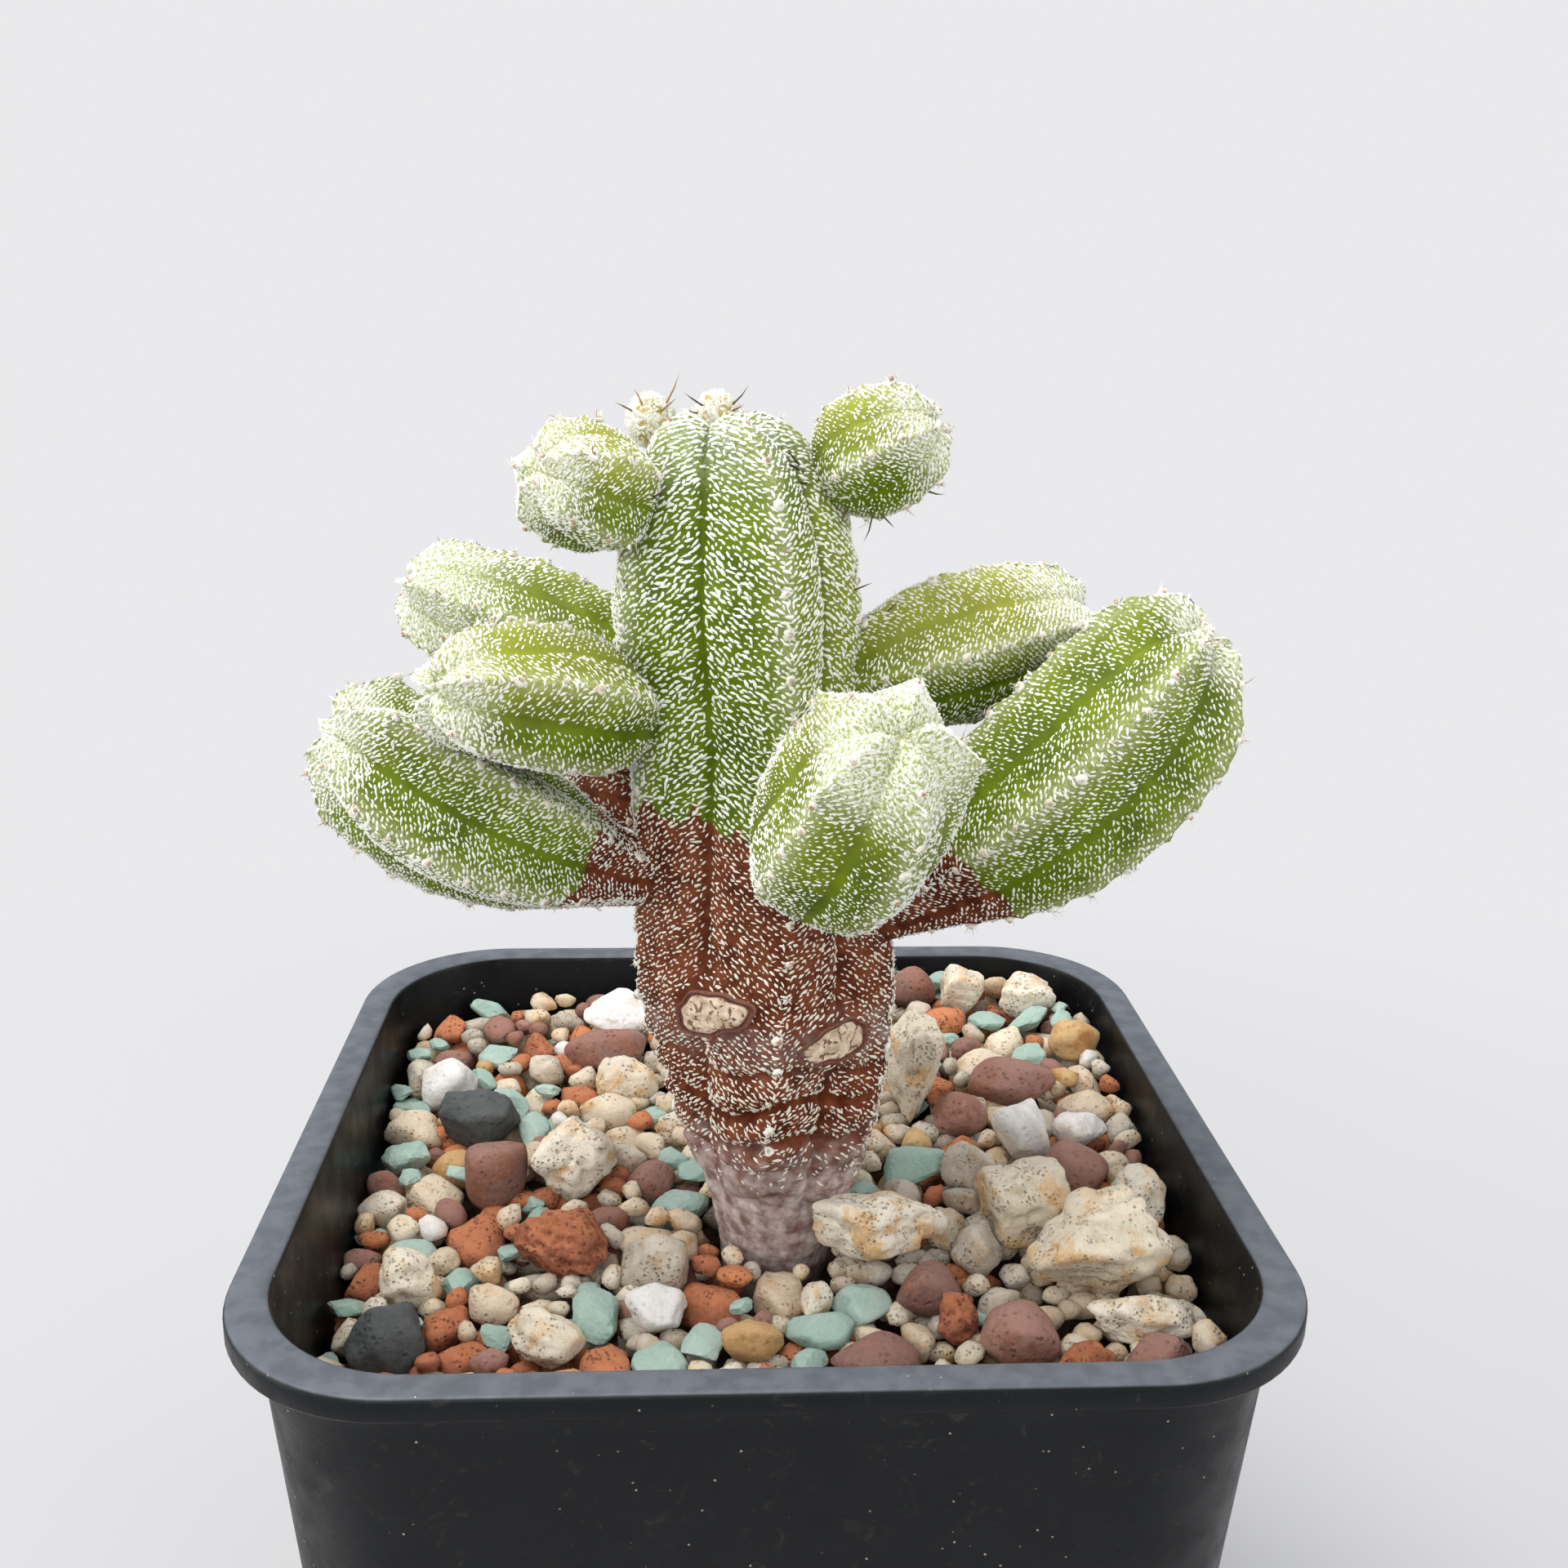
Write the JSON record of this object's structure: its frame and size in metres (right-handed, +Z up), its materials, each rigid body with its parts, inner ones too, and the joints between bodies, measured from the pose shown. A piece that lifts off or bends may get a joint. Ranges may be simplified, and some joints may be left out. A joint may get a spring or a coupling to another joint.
{
  "type": "potted cactus",
  "caption": "Branching ribbed cactus with white woolly flecks and plump side offsets, in a square black plastic nursery pot dressed with mixed coloured stones.",
  "frame": {"origin": "centre of the pot's underside", "axes": "+Z up, -Y towards the side of the pot and the plant that the picture shows, +X to the right in it"},
  "size_m": [0.089, 0.089, 0.1554],
  "materials": {
    "pot_plastic": "moulded black plastic, satin, dusty on the rim",
    "potting_mix": "loose bark and peat mix",
    "gravel": "mixed small tan and brown grit",
    "pumice_stone": "cream pumice with open pores",
    "white_stone": "white quartz",
    "maroon_stone": "rounded maroon stone",
    "brick_stone": "rough orange-red lava",
    "teal_stone": "angular pale teal zeolite",
    "ochre_stone": "ochre stone",
    "grey_stone": "pale grey stone",
    "charcoal_stone": "dark charcoal stone",
    "cactus_skin": "green skin covered in white woolly flecks, brown and corky at the foot"
  },
  "bodies": {
    "root": {"pot": "pot_plastic", "soil": "potting_mix", "gravel_bed": "gravel", "pumice_stone_1": "pumice_stone", "pumice_stone_2": "pumice_stone", "pumice_stone_3": "pumice_stone", "pumice_stone_4": "pumice_stone", "maroon_stone_1": "maroon_stone", "maroon_stone_2": "maroon_stone", "brick_stone_1": "brick_stone", "maroon_stone_3": "maroon_stone", "brick_stone_2": "brick_stone", "teal_stone_1": "teal_stone", "teal_stone_2": "teal_stone", "ochre_stone_1": "ochre_stone", "maroon_stone_4": "maroon_stone", "white_stone_1": "white_stone", "white_stone_2": "white_stone", "maroon_stone_5": "maroon_stone", "pumice_stone_5": "pumice_stone", "pumice_stone_6": "pumice_stone", "maroon_stone_6": "maroon_stone", "pumice_stone_7": "pumice_stone", "pumice_stone_8": "pumice_stone", "ochre_stone_2": "ochre_stone", "maroon_stone_7": "maroon_stone", "maroon_stone_8": "maroon_stone", "grey_stone_1": "grey_stone", "grey_stone_2": "grey_stone", "pumice_stone_9": "pumice_stone", "maroon_stone_9": "maroon_stone", "brick_stone_3": "brick_stone", "grey_stone_3": "grey_stone", "charcoal_stone_1": "charcoal_stone", "white_stone_3": "white_stone", "maroon_stone_10": "maroon_stone", "pumice_stone_10": "pumice_stone", "white_stone_4": "white_stone", "charcoal_stone_2": "charcoal_stone", "pumice_stone_11": "pumice_stone", "white_stone_5": "white_stone", "pumice_stone_12": "pumice_stone", "main_stem": "cactus_skin", "offset_upper_left": "cactus_skin", "offset_upper_right": "cactus_skin", "offset_middle_left": "cactus_skin", "offset_back_left": "cactus_skin", "offset_lower_left": "cactus_skin", "offset_stub_left": "cactus_skin", "offset_front": "cactus_skin", "offset_middle_right": "cactus_skin", "offset_lower_right": "cactus_skin"}
  },
  "joints": []
}
